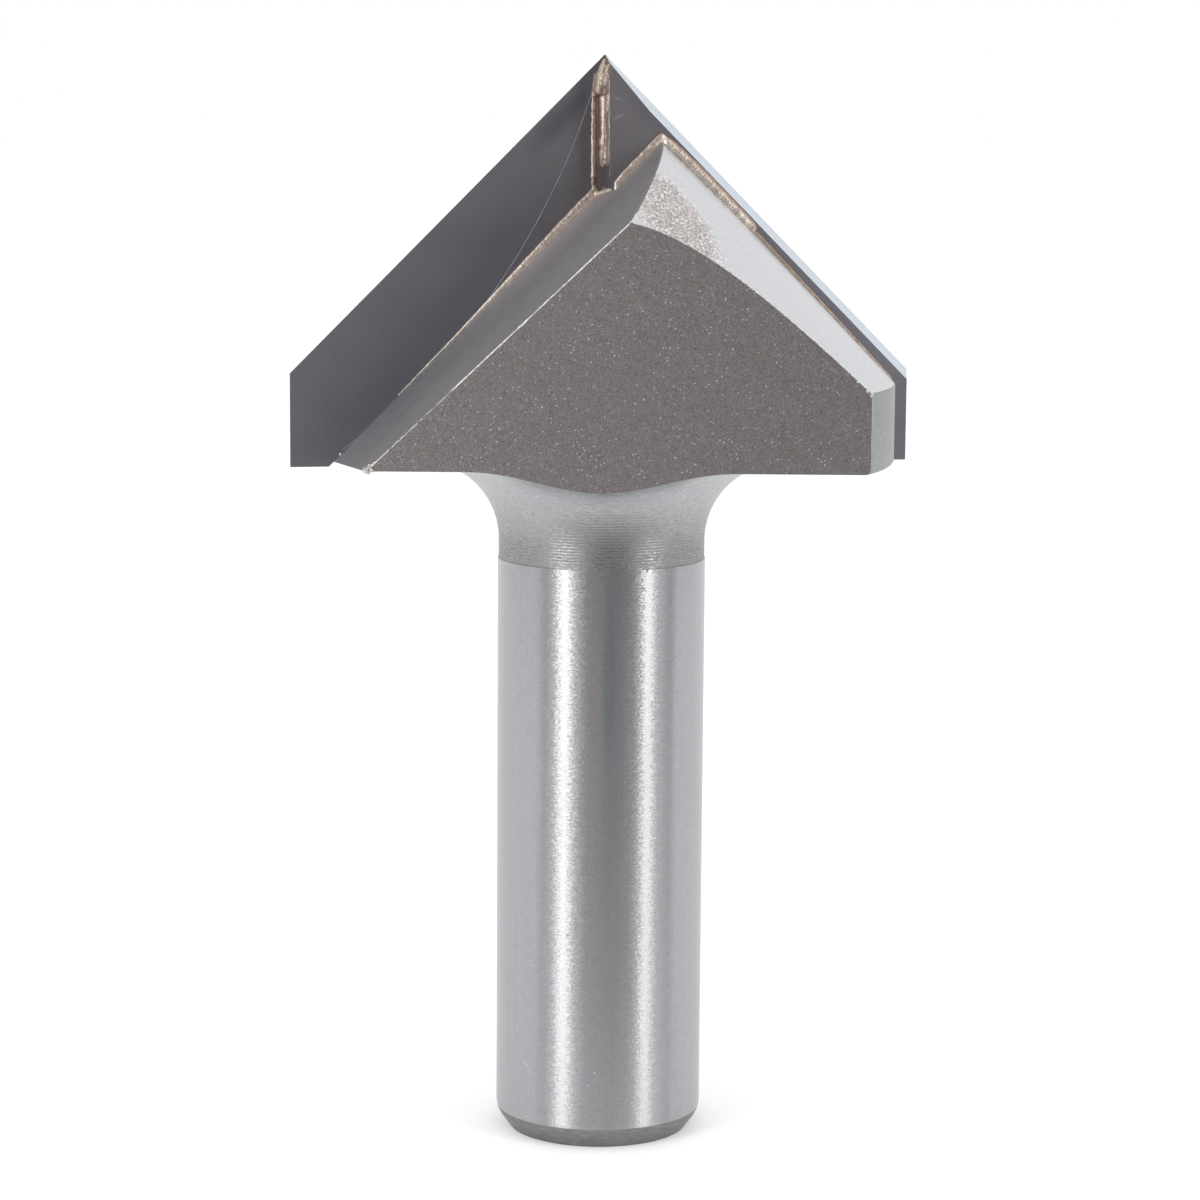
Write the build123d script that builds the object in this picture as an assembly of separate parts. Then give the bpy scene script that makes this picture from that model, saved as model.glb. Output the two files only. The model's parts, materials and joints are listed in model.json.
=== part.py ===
"""V-groove router bit with two brazed carbide tips. Millimetres, +Z up from the shank's end.

The rake planes of both tips lie in the plane through the axis, y = 0. The front flute is the one
at negative y: its tip is at negative x and faces -Y. Half a turn about Z gives the back flute.
"""

from build123d import *
import math
import os

# Cutting edges
cutting_diameter = 38.1
included_angle = 90.0

# Shank and neck
shank_diameter = 12.7
shank_length = 35.8
shank_chamfer_height = 1.15
shank_chamfer_width = 0.845
neck_undercut = 0.04
neck_length = 1.05
neck_fillet_radius = 4.94

# Turned head: a rim and a cone, both set in from the cutting edges for clearance
rim_height = 4.78
rim_chamfer = 0.45
tip_side_overhang = 1.3
tip_point_overhang = 1.28
cone_angle_ease = 0.95

# Flats on the outside of the wings
flat_distance = 8.01
flat_turn = 10.2

# Gullets, whose roots also locate the tips
gullet_root_drop = 7.87
gullet_root_taper = 0.19
gullet_lean = 9.65

# Carbide tips
tip_thickness = 1.9
tip_bottom_drop = 0.29
point_relief_angle = 19.5
side_relief_angle = 14.0
bottom_relief_angle = 7.5
rake_grind_depth = 0.06
grind_line_drop = 1.6
grind_line_top = 0.6
grind_line_end = 8.12
grinding_wheel_radius = 43.3

# Braze between the tips
centre_bead_width = 0.75
centre_bead_depth = 1.5
centre_bead_skin = 0.22
centre_bead_top_gap = 1.25
centre_fill_height = 1.1

# Braze along the gullet's root
root_bead_width = 0.45
root_bead_height = 0.3
root_bead_start = 0.55
root_bead_length = 9.6
root_bead_taper = 0.1

# Braze round the steel behind each tip
peak_bead_width = 0.36
peak_bead_height = 0.3
peak_bead_start = 0.6
ledge_bead_width = 0.5
ledge_bead_height = 0.38
ledge_bead_end = 8.9
seam_bead_width = 0.2
seam_bead_height = 0.14
bead_sink = 0.5
bead_dip = 0.15

# Worked out from the sizes above
half_angle = math.radians(included_angle / 2)
shank_radius = shank_diameter / 2
neck_radius = shank_radius - neck_undercut
fillet_start = shank_length + neck_length
head_start = fillet_start + neck_fillet_radius
cutting_radius = cutting_diameter / 2
rim_radius = cutting_radius - tip_side_overhang
cone_slope = 1 / math.tan(half_angle - math.radians(cone_angle_ease))
cone_start = head_start + rim_height
cone_apex = cone_start + rim_radius * cone_slope
cutting_point = cone_apex + tip_point_overhang
tip_bottom = head_start - tip_bottom_drop
gullet_root_height = cutting_point - gullet_root_drop
root_angle = math.pi / 2 - half_angle + math.radians(gullet_root_taper)
root_slope = math.tan(root_angle)
lean_angle = math.radians(gullet_lean)
reach = 2 * cutting_point


def half_space(origin, normal):
    """Block that fills everything on the side of a plane that its normal points to."""
    block = Box(reach, reach, reach, align=(Align.CENTER, Align.CENTER, Align.MIN))
    return Plane(origin=origin, z_dir=normal) * block


def half_turn(shape):
    """The same feature on the other flute."""
    return Rot(0, 0, 180) * shape


def root_point(height):
    """Where the front gullet's root line, in the rake plane, is at a height."""
    return Vector((height - gullet_root_height) / root_slope, 0, height)


def root_direction():
    """Direction up the front gullet's root, in the rake plane."""
    return Vector(math.cos(root_angle), 0, math.sin(root_angle))


def root_normal():
    """Direction square to the front gullet's root, in the rake plane, out over its tip."""
    return Vector(-math.sin(root_angle), 0, math.cos(root_angle))


def cone_point(across):
    """Where the wing's cone meets the back of the other flute's tip, at a distance across."""
    radius = math.hypot(across, tip_thickness)
    return Vector(across, -tip_thickness, cone_apex - radius * cone_slope)


def wall_normal():
    """Normal of the front gullet's wall, which leans so that the gullet opens outwards."""
    across = math.cos(lean_angle)
    return Vector(-math.sin(root_angle) * across, -math.sin(lean_angle), math.cos(root_angle) * across)


def wall_direction():
    """Direction down the front gullet's wall, square to its root, away from the tip."""
    fall = math.sin(lean_angle)
    return Vector(math.sin(root_angle) * fall, -math.cos(lean_angle), -math.cos(root_angle) * fall)


def make_blank():
    """Turned blank: chamfered shank, undercut neck with its fillet, rim and cone."""
    fillet_edge = neck_radius + neck_fillet_radius
    fillet_bulge = neck_fillet_radius * (1 - math.cos(math.radians(45)))
    with BuildPart() as blank:
        with BuildSketch(Plane.XZ):
            with BuildLine():
                Polyline(
                    (0, 0),
                    (shank_radius - shank_chamfer_width, 0),
                    (shank_radius, shank_chamfer_height),
                    (shank_radius, shank_length),
                    (neck_radius, shank_length),
                    (neck_radius, fillet_start),
                )
                ThreePointArc(
                    (neck_radius, fillet_start),
                    (neck_radius + fillet_bulge, head_start - fillet_bulge),
                    (fillet_edge, head_start),
                )
                Polyline(
                    (fillet_edge, head_start),
                    (rim_radius - rim_chamfer, head_start),
                    (rim_radius, head_start + rim_chamfer),
                    (rim_radius, cone_start),
                    (0, cone_apex),
                    (0, 0),
                )
            make_face()
        revolve(axis=Axis.Z)
    return blank.part


def make_flat():
    """Everything outside the front flat, which is turned towards its gullet."""
    turn = math.radians(flat_turn)
    outwards = Vector(-math.sin(turn), -math.cos(turn), 0)
    above_neck = half_space((0, 0, fillet_start), (0, 0, 1))
    return half_space(outwards * flat_distance, outwards) & above_neck


def make_gullet():
    """Chip gullet ahead of the front tip, down to a leaning wall."""
    return half_space(root_point(gullet_root_height), wall_normal()) & half_space((0, 0, 0), (0, -1, 0))


def make_pocket():
    """Cut that seats the front tip: the tip's thickness deep, along the gullet's root."""
    outline = Polyline(
        (0, gullet_root_height),
        (0, reach),
        (-reach, reach),
        (-reach, gullet_root_height - reach * root_slope),
        close=True,
    )
    return extrude(Plane.XZ * make_face(outline), -tip_thickness)


def make_body():
    """Steel body: the turned blank with flats, gullets and pockets milled in both wings."""
    body = make_blank()
    for cut in (make_flat(), make_gullet(), make_pocket()):
        body -= cut
        body -= half_turn(cut)
    return body


def tip_outline(depth):
    """Outline of the front tip at a depth behind its cutting edges, which are relieved."""
    point_inset = depth * math.tan(math.radians(point_relief_angle))
    side_inset = depth * math.tan(math.radians(side_relief_angle))
    bottom = tip_bottom + depth * math.tan(math.radians(bottom_relief_angle))
    apex = cutting_point - point_inset / math.sin(half_angle)
    side = cutting_radius - side_inset
    return Polyline(
        (0, gullet_root_height),
        (0, apex),
        (-side, apex - side / math.tan(half_angle)),
        (-side, bottom),
        (root_point(bottom).X, bottom),
        close=True,
    )


def grinding_wheel():
    """Disc of the wheel, whose rim crosses the front rake face from near the point to the root."""
    top = Vector(-grind_line_top, cutting_point - grind_line_drop)
    end = Vector(-grind_line_end, gullet_root_height - grind_line_end * root_slope)
    chord = end - top
    to_centre = math.sqrt(grinding_wheel_radius**2 - (chord.length / 2) ** 2)
    centre = (top + end) / 2 + Vector(chord.Y, -chord.X).normalized() * to_centre
    return Pos(centre.X, centre.Y) * Circle(grinding_wheel_radius)


def make_tip():
    """Front carbide tip, relieved behind its edges, its rake face ground up to a curved line."""
    rake_face = Plane.XZ * make_face(tip_outline(0))
    back_face = Plane.XZ.offset(-tip_thickness) * make_face(tip_outline(tip_thickness))
    blank = loft([rake_face, back_face], ruled=True)
    skin = make_face(tip_outline(tip_thickness)) - grinding_wheel()
    skin &= Rectangle(reach, cutting_point - grind_line_drop, align=(Align.CENTER, Align.MIN))
    return blank + extrude(Plane.XZ * skin, rake_grind_depth)


def bead(start, end, across, up, shrink=1.0):
    """Three-sided bead from start to end, as wide as across and standing as far out as up.

    Its hidden corner is sunk into the steel or carbide, and trimmed off later. The far end is
    shrink times the size of the near one.
    """
    sections = []
    for point, scale in ((start, 1.0), (end, shrink)):
        corner = point - (across + up) * (bead_sink * scale)
        ring = Polyline(corner, point + across * scale, point + up * scale, close=True)
        sections.append(make_face(ring))
    return loft(sections, ruled=True)


def make_centre_bead():
    """Braze in the corner between the two tips: a skin on each, filled in below the point."""
    top = cutting_point - centre_bead_top_gap
    bottom = gullet_root_height - centre_bead_width
    fill_start = top - centre_fill_height
    skins = Polyline(
        (0, 0),
        (-centre_bead_width, 0),
        (-centre_bead_width, -centre_bead_skin),
        (-centre_bead_skin, -centre_bead_skin),
        (-centre_bead_skin, -centre_bead_depth),
        (0, -centre_bead_depth),
        close=True,
    )
    corner = Polyline((0, 0), (-centre_bead_width, 0), (0, -centre_bead_depth), close=True)
    lower = Pos(0, 0, bottom) * extrude(make_face(skins), top - bottom)
    return lower + Pos(0, 0, fill_start) * extrude(make_face(corner), centre_fill_height)


def make_root_bead():
    """Braze along the gullet's root, thinning out down the tip."""
    start = root_point(gullet_root_height - root_bead_start)
    end = start - root_direction() * root_bead_length
    across = root_normal() * root_bead_width
    return bead(start, end, across, wall_direction() * root_bead_height, shrink=root_bead_taper)


def make_peak_bead(peak):
    """Braze along the top of the gullet's wall, up to the peak of the front wing."""
    climb = root_direction()
    start = peak - climb * ((peak.X - peak_bead_start) / climb.X)
    across = root_normal() * peak_bead_width
    return bead(start, peak + climb * peak_bead_width, across, wall_direction() * peak_bead_height)


def make_ledge_bead(peak):
    """Braze down the cone's edge from the peak: wide on its ledge, then a thin seam."""
    step = cone_point(ledge_bead_end)
    rim_end = cone_point(math.sqrt(rim_radius**2 - tip_thickness**2))
    fall = (step - peak).normalized()
    outwards = Vector(-fall.Z, 0, fall.X)
    up = Vector(0, -1, 0) - outwards * bead_dip
    ledge = bead(peak - fall * peak_bead_width, step, outwards * ledge_bead_width, up * ledge_bead_height)
    return ledge + bead(step, rim_end, outwards * seam_bead_width, up * seam_bead_height)


def make_braze(body, tips):
    """All the braze that shows in the front flute, as beads that lie on the steel and tips."""
    front = [corner for corner in body.vertices() if corner.Y < 0]
    peak = Vector(*max(front, key=lambda corner: corner.Z))
    beads = [make_centre_bead() + make_root_bead(), make_peak_bead(peak) + make_ledge_bead(peak)]
    for piece in (body, *tips):
        beads = [lump - piece for lump in beads]
    return Compound([solid for lump in beads for solid in lump.solids()])


def main():
    """Builds the pieces and writes one file for each."""
    body = make_body()
    tip = make_tip()
    other_tip = half_turn(tip)
    braze = make_braze(body, (tip, other_tip))
    pieces = {
        "body": body,
        "carbide_tip_1": tip,
        "carbide_tip_2": other_tip,
        "braze_seam_1": braze,
        "braze_seam_2": half_turn(braze),
    }
    os.makedirs("parts", exist_ok=True)
    for name, shape in pieces.items():
        export_step(shape, f"parts/{name}.step")


main()
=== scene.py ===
"""V-groove router bit: turned and milled steel body, two ground carbide cutters and their braze."""

import json
import math
import random

import bmesh
import bpy
from bpy.props import FloatProperty, FloatVectorProperty, PointerProperty
from mathutils import Matrix, Vector

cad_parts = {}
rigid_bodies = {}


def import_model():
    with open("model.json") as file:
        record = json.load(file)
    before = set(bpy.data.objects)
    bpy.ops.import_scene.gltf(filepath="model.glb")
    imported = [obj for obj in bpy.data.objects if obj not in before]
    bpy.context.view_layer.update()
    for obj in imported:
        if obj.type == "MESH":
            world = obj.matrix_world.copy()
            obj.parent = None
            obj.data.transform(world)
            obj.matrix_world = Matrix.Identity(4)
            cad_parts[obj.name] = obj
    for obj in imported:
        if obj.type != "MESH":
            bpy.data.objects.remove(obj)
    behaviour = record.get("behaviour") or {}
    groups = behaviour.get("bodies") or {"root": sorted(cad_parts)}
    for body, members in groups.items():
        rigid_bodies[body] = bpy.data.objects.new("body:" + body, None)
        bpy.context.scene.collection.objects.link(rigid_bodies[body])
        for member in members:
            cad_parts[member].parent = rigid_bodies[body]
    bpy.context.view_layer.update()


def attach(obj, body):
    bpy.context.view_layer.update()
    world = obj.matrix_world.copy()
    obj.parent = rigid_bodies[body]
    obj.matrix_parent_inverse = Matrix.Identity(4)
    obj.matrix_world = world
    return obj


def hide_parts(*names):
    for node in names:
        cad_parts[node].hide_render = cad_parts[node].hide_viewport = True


bl_info = {
    "name": "V-groove router bit",
    "version": (1, 0, 0),
    "blender": (4, 5, 0),
    "location": "View3D > Sidebar > Router Bit",
    "description": "Models a brazed-carbide v-groove router bit and its studio",
    "category": "Add Mesh",
}

for thing in list(bpy.data.objects):
    bpy.data.objects.remove(thing)
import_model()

MM = 1000
# Flakes of torn burr on the front flat's ends, in millimetres: place and radius.
TORN_BURR = (
    ((-14.95, -5.42, 41.9), 0.24),
    ((-14.82, -5.46, 42.1), 0.12),
    ((-14.62, -5.46, 42.3), 0.06),
    ((14.13, -10.66, 46.45), 0.1),
    ((14.14, -10.66, 46.22), 0.06),
    ((13.87, -10.62, 46.72), 0.08),
    ((13.3, -10.52, 47.28), 0.06),
    ((12.2, -10.32, 48.38), 0.05),
)
# Centre of the arc that the rake grinding left on the front cutter, across and up, in millimetres.
ARC_CENTRE = (-42.08, 77.0)


def from_hex(code):
    """Linear red, green and blue of an sRGB hex colour."""
    parts = [int(code[i : i + 2], 16) / 255 for i in (0, 2, 4)]
    return [p / 12.92 if p <= 0.04045 else ((p + 0.055) / 1.055) ** 2.4 for p in parts]


def size(name, description, millimetres):
    return FloatProperty(name=name, description=description, default=millimetres / MM, unit="LENGTH")


def angle(name, description, degrees):
    return FloatProperty(name=name, description=description, default=math.radians(degrees), subtype="ANGLE")


def colour(name, description, code):
    return FloatVectorProperty(name=name, description=description, default=from_hex(code), subtype="COLOR")


class BitSizes(bpy.types.PropertyGroup):
    """Sizes of the bit."""

    shank_diameter: size("Shank diameter", "Ground shank, across", 12.7)
    shank_length: size("Shank length", "From the end to the neck", 35.8)
    chamfer_height: size("Chamfer height", "End chamfer, along the shank", 1.15)
    chamfer_width: size("Chamfer width", "End chamfer, across one side", 0.845)
    neck_diameter: size("Neck diameter", "Turned neck, across", 12.62)
    fillet_start: size("Fillet start", "Height at which the neck starts to widen", 36.85)
    fillet_radius: size("Fillet radius", "Radius of the neck's fillet", 4.94)
    ring_pitch: size("Ring pitch", "From one turned ring of the neck to the next", 0.186)
    ring_depth: size("Ring depth", "Depth of the turned rings", 0.019)
    ring_end: size("Ring end", "Height at which the turned rings fade out", 40.0)
    head_diameter: size("Head diameter", "Turned rim of the head, across", 35.5)
    rim_round: size("Rim round", "Rounded lower edge of the rim", 0.28)
    rim_height: size("Rim height", "Straight part of the rim", 4.78)
    cone_apex: size("Cone apex", "Height at which the relieved cone would close", 64.919)
    flat_distance: size("Flat distance", "From the axis to each flat", 8.01)
    flat_turn: angle("Flat turn", "How far each flat is turned towards its gullet", 10.2)
    root_height: size("Root height", "Height of the gullets' roots on the axis", 58.33)
    root_angle: angle("Root angle", "Slope of the gullets' roots", 45.19)
    gullet_lean: angle("Gullet lean", "How far each gullet's wall leans outwards", 9.65)
    burr_width: size("Burr width", "Bright edge along the top of each flat", 0.055)
    edge_round: size("Edge round", "Rounded edge between each gullet and the cone", 0.08)
    cutting_point: size("Cutting point", "Height of the cutters' point", 66.2)
    cutting_diameter: size("Cutting diameter", "Across the cutters' side edges", 38.1)
    tip_thickness: size("Cutter thickness", "Thickness of the carbide", 1.9)
    tip_bottom: size("Cutter bottom", "Height of the cutters' lower ends", 41.5)
    point_relief: angle("Point relief", "Clearance behind the angled edges", 19.5)
    side_relief: angle("Side relief", "Clearance behind the straight sides", 14)
    bottom_relief: angle("Bottom relief", "Clearance behind the lower ends", 7.5)
    wheel_radius: size("Wheel radius", "Radius of the arc that the rake grinding left", 43.3)
    rake_bead: size("Rake bead", "Braze ridge down each rake face, across", 0.32)
    root_bead: size("Root bead", "Braze along each gullet's root, across at its start", 0.56)
    peak_bead: size("Peak bead", "Braze above each gullet's wall, across", 0.62)
    ledge_bead: size("Ledge bead", "Braze down each cone edge, across", 0.8)
    ledge_end: size("Ledge end", "Distance from the axis where the wide bead stops", 8.9)
    seam_bead: size("Seam bead", "Thin braze line from there to the rim, across", 0.24)
    lump_size: size("Lump size", "Grain of the braze's rough skin", 0.22)


class BitColours(bpy.types.PropertyGroup):
    """Colours of the bit's finishes."""

    ground_steel: colour("Ground steel", "Cylindrically ground shank", "B6B8BB")
    turned_steel: colour("Turned steel", "Neck and fillet", "A9ABAD")
    blasted_steel: colour("Blasted steel", "Grit-blasted flats", "8E898A")
    relieved_steel: colour("Relieved steel", "Ground cone behind the edges", "D8D9DC")
    milled_steel: colour("Milled steel", "Gullet walls", "939293")
    rim_steel: colour("Rim steel", "Straight rim", "9C9D9F")
    chamfer_steel: colour("Chamfer steel", "End chamfer of the shank", "8A8888")
    # Painted highlight: the burr's colour is far lighter than the steel, for the bright line along the edges.
    burr_steel: colour("Burr", "Bright burr along the milled edges", "F4F3F1")
    carbide: colour("Carbide", "Ground tungsten carbide", "848388")
    # Painted light: a lighter copy of the carbide, for the relief faces and the arc's step.
    relief_carbide: colour("Relief carbide", "Carbide sharpened behind the edges", "D2DAE4")
    braze: colour("Braze", "Silver and copper brazing alloy", "CDC2BA")


def deselect():
    """Goes to object mode with nothing selected."""
    if bpy.context.object and bpy.context.object.mode != "OBJECT":
        bpy.ops.object.mode_set(mode="OBJECT")
    bpy.ops.object.select_all(action="DESELECT")


def select_alone(piece):
    """Selects one piece alone, in object mode, and makes it the active one."""
    deselect()
    bpy.context.view_layer.objects.active = piece
    piece.select_set(True)


def edit(piece):
    """Opens one piece alone in edit mode."""
    select_alone(piece)
    bpy.ops.object.mode_set(mode="EDIT")
    bpy.ops.mesh.select_mode(type="VERT")
    bpy.ops.mesh.select_all(action="SELECT")


def added(name):
    """The primitive just added, under its own name, with its place in its mesh."""
    piece = bpy.context.object
    piece.name = piece.data.name = name
    bpy.ops.object.transform_apply()
    return piece


def block(name, low, high, planes=()):
    """Cube between two corners, cut back to each plane given as a point and an outward normal."""
    deselect()
    middle = [(a + b) / 2 for a, b in zip(low, high)]
    spans = [b - a for a, b in zip(low, high)]
    bpy.ops.mesh.primitive_cube_add(size=1, location=middle, scale=spans)
    piece = added(name)
    edit(piece)
    for point, normal in planes:
        slice_off(point, normal)
    deselect()
    return piece


def slice_off(point, normal):
    """Cuts away what the plane's normal points to, in edit mode, and closes the cut."""
    bpy.ops.mesh.select_all(action="SELECT")
    bpy.ops.mesh.bisect(plane_co=point, plane_no=normal, use_fill=True, clear_outer=True, threshold=1e-5)


def combine(piece, other, operation):
    """Cuts the other piece out of this one, or adds it on, and removes the other."""
    shaped(piece, "BOOLEAN", object=other, operation=operation, solver="EXACT")
    bpy.data.objects.remove(other)


def shaped(piece, kind, **settings):
    """Adds one modifier to a piece and applies it."""
    select_alone(piece)
    bpy.ops.object.modifier_add(type=kind)
    step = piece.modifiers[-1]
    for name, value in settings.items():
        setattr(step, name, value)
    bpy.ops.object.modifier_apply(modifier=step.name)


def pick(piece, kind, test):
    """Selects the points, edges or faces of a piece in edit mode that pass a test."""
    bpy.ops.mesh.select_mode(type=kind)
    bpy.ops.mesh.select_all(action="DESELECT")
    shape = bmesh.from_edit_mesh(piece.data)
    found = 0
    for item in {"VERT": shape.verts, "EDGE": shape.edges, "FACE": shape.faces}[kind]:
        chosen = test(item)
        item.select_set(chosen)
        found += chosen
    shape.select_flush_mode()
    bmesh.update_edit_mesh(piece.data)
    return found


def paint(piece, material, test):
    """Gives a material to the faces that pass a test."""
    if material.name not in piece.data.materials:
        piece.data.materials.append(material)
    edit(piece)
    if pick(piece, "FACE", test):
        piece.active_material_index = piece.data.materials.find(material.name)
        bpy.ops.object.material_slot_assign()


def close_up(piece, gap):
    """Merges points nearer than the gap and turns every face outwards."""
    edit(piece)
    bpy.ops.mesh.remove_doubles(threshold=gap)
    bpy.ops.mesh.dissolve_degenerate(threshold=gap / 2)
    bpy.ops.mesh.select_all(action="SELECT")
    bpy.ops.mesh.normals_make_consistent(inside=False)


def finish_piece(piece, node, smooth=30):
    """Scales a piece from millimetres to metres, smooths it and sets it in the frame."""
    edit(piece)
    bpy.ops.transform.resize(value=(1 / MM,) * 3, center_override=(0, 0, 0))
    select_alone(piece)
    bpy.ops.object.shade_smooth_by_angle(angle=math.radians(smooth))
    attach(piece, "root")
    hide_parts(node)
    deselect()


def other_flute(piece, name):
    """Copy of a piece, with a mesh of its own, half a turn round the axis."""
    select_alone(piece)
    bpy.ops.object.duplicate()
    copy = bpy.context.object
    copy.name = copy.data.name = name
    edit(copy)
    bpy.ops.transform.rotate(value=math.pi, orient_axis="Z", center_override=(0, 0, 0))
    deselect()
    return copy


def flat_normal(sizes):
    return Vector((-math.sin(sizes.flat_turn), -math.cos(sizes.flat_turn), 0))


def root_normal(sizes):
    """Normal of the pocket's floor under the front cutter."""
    return Vector((-math.sin(sizes.root_angle), 0, math.cos(sizes.root_angle)))


def wall_normal(sizes):
    """Normal of the front gullet's wall."""
    lean = math.sin(sizes.gullet_lean)
    return root_normal(sizes) * math.cos(sizes.gullet_lean) - Vector((0, lean, 0))


def on_flute(direction, half):
    """A direction of the front flute as it is (half 1), or half a turn round the axis (half -1)."""
    return Vector((direction.x * half, direction.y * half, direction.z))


def turned_profile(sizes):
    """Radius and height of each ring of the turned body, in millimetres, from the end up."""
    radius = sizes.shank_diameter * MM / 2
    neck = sizes.neck_diameter * MM / 2
    length = sizes.shank_length * MM
    chamfer = sizes.chamfer_height * MM
    start = sizes.fillet_start * MM
    fillet = sizes.fillet_radius * MM
    rim = sizes.head_diameter * MM / 2
    rim_round = sizes.rim_round * MM
    yield radius - sizes.chamfer_width * MM, 0
    for inset, rise in ((0.22, -0.3), (0.1, -0.06), (0.03, 0.16), (0, 0.4)):
        yield radius - inset, chamfer + rise
    for share in (0.2, 0.4, 0.6, 0.8, 1):
        yield radius, chamfer + 0.4 + (length - 0.44 - chamfer) * share
    yield radius - 0.03, length
    height = length
    end = sizes.ring_end * MM
    count = 0
    while height < end:
        height += sizes.ring_pitch * MM / 4
        fade = min(1, (height - length) / 0.4, math.sqrt(max(end - height, 0) / (end - start)))
        ring = sizes.ring_depth * MM * (1, 0.5, 0, 0.5)[count % 4] * fade
        rise = max(height - start, 0)
        yield neck + fillet - math.sqrt(fillet**2 - rise**2) - ring, height
        count += 1
    first = math.asin((height - start) / fillet)
    for step in range(1, 21):
        turn = first + (math.pi / 2 - first) * step / 20
        yield neck + fillet * (1 - math.cos(turn)), start + fillet * math.sin(turn)
    top = start + fillet
    for turn in (0, 22.5, 45, 67.5, 90):
        reach = math.radians(turn)
        yield rim - rim_round * (1 - math.sin(reach)), top + rim_round * (1 - math.cos(reach))
    cone_start = top + sizes.rim_height * MM
    yield rim, cone_start
    apex = sizes.cone_apex * MM
    for share in (0.3, 0.6, 0.9, 0.99):
        yield rim * (1 - share), cone_start + (apex - cone_start) * share


class ROUTERBIT_OT_body(bpy.types.Operator):
    """Models the steel body: a turned blank with flats, gullets and pockets milled in it"""

    bl_idname = "routerbit.body"
    bl_label = "Steel Body"

    def execute(self, context):
        sizes = context.scene.bit_sizes
        body = self.turn_blank(sizes)
        self.mill(body, sizes)
        self.soften(body, sizes)
        self.finish(body, sizes, context.scene.bit_colours)
        finish_piece(body, "body")
        return {"FINISHED"}

    def turn_blank(self, sizes):
        """Turned blank, drawn up ring by ring from the shank's end face."""
        rings = list(turned_profile(sizes))
        last_radius, last_height = rings[0]
        deselect()
        bpy.ops.mesh.primitive_circle_add(vertices=256, radius=last_radius, fill_type="NGON")
        blank = added("steel_body")
        edit(blank)
        for radius, height in rings[1:]:
            rise = {"value": (0, 0, height - last_height)}
            bpy.ops.mesh.extrude_region_move(TRANSFORM_OT_translate=rise)
            grow = radius / last_radius
            bpy.ops.transform.resize(value=(grow, grow, 1), center_override=(0, 0, 0))
            last_radius, last_height = radius, height
        bpy.ops.mesh.select_all(action="SELECT")
        bpy.ops.mesh.normals_make_consistent(inside=False)
        deselect()
        return blank

    def mill(self, body, sizes):
        """Mills the flats, then both gullets and both pockets."""
        outwards = flat_normal(sizes)
        edit(body)
        slice_off(outwards * sizes.flat_distance * MM, outwards)
        slice_off(-outwards * sizes.flat_distance * MM, -outwards)
        root = (0, 0, sizes.root_height * MM)
        thickness = sizes.tip_thickness * MM
        for half in (1, -1):
            wall = on_flute(wall_normal(sizes), half)
            low, high = sorted((0, -30 * half))
            gullet = block("gullet", (-40, low, 30), (40, high, 90), [(root, -wall)])
            combine(body, gullet, "DIFFERENCE")
            floor = on_flute(root_normal(sizes), half)
            sides = sorted((0, -40 * half))
            depth = sorted((-0.5 * half, thickness * half))
            low, high = (sides[0], depth[0], 30), (sides[1], depth[1], 90)
            pocket = block("pocket", low, high, [(root, -floor)])
            combine(body, pocket, "DIFFERENCE")
        close_up(body, 0.012)

    def regions(self, sizes):
        """Tests that say which milled or turned surface a face belongs to."""
        outwards = flat_normal(sizes)
        distance = sizes.flat_distance * MM
        walls = [on_flute(wall_normal(sizes), half) for half in (1, -1)]
        root = Vector((0, 0, sizes.root_height * MM))
        top = (sizes.fillet_start + sizes.fillet_radius) * MM
        cone_start = top + sizes.rim_height * MM

        def faces_out(face):
            middle = face.calc_center_median()
            return face.normal.dot(Vector((middle.x, middle.y, 0)).normalized()) > 0.6

        def flat(face):
            middle = face.calc_center_median()
            return abs(face.normal.dot(outwards)) > 0.998 and abs(abs(middle.dot(outwards)) - distance) < 0.03

        def gullet(face):
            away = face.calc_center_median() - root
            return any(face.normal.dot(wall) > 0.999 and abs(away.dot(wall)) < 0.03 for wall in walls)

        def cone(face):
            above = face.calc_center_median().z > cone_start - 0.05
            return above and face.normal.z > 0.6 and faces_out(face) and not gullet(face)

        def rim(face):
            return top - 0.1 < face.calc_center_median().z < cone_start + 0.1 and faces_out(face)

        def burr(face):
            middle = face.calc_center_median()
            near_flat = abs(abs(middle.dot(outwards)) - distance) < 0.2
            near_wall = any(abs((middle - root).dot(wall)) < 0.2 for wall in walls)
            near_cone = middle.z > cone_start and abs(face.normal.dot(outwards)) > 0.1
            loose = not (flat(face) or gullet(face) or cone(face) or rim(face))
            return near_flat and loose and (near_wall or near_cone)

        return {"flat": flat, "gullet": gullet, "cone": cone, "rim": rim, "burr": burr}

    def soften(self, body, sizes):
        """Breaks the edges: a ragged burr along each flat's top, fine breaks elsewhere, torn flakes."""
        regions = self.regions(sizes)

        def between(edge, first, second):
            if len(edge.link_faces) != 2:
                return False
            one, two = edge.link_faces
            return (first(one) and second(two)) or (first(two) and second(one))

        burr = sizes.burr_width * MM
        edit(body)
        for first, second, width, segments, cuts, ragged in (
            ("gullet", "cone", sizes.edge_round * MM, 2, 0, 0),
            ("flat", "gullet", burr, 2, 130, 1.0),
            ("flat", "cone", 0.035, 1, 0, 0),
            ("flat", "rim", 0.02, 1, 0, 0),
            ("cone", "rim", 0.07, 2, 0, 0),
            ("gullet", "rim", 0.04, 1, 0, 0),
        ):
            shared = lambda edge: between(edge, regions[first], regions[second])
            if not pick(body, "EDGE", shared):
                raise RuntimeError(f"no edge between {first} and {second}")
            if cuts:
                bpy.ops.mesh.subdivide(number_cuts=cuts, quadcorner="INNERVERT")
                pick(body, "EDGE", shared)
            bpy.ops.mesh.bevel(offset=width, segments=segments, clamp_overlap=False)
            if ragged:
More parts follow.
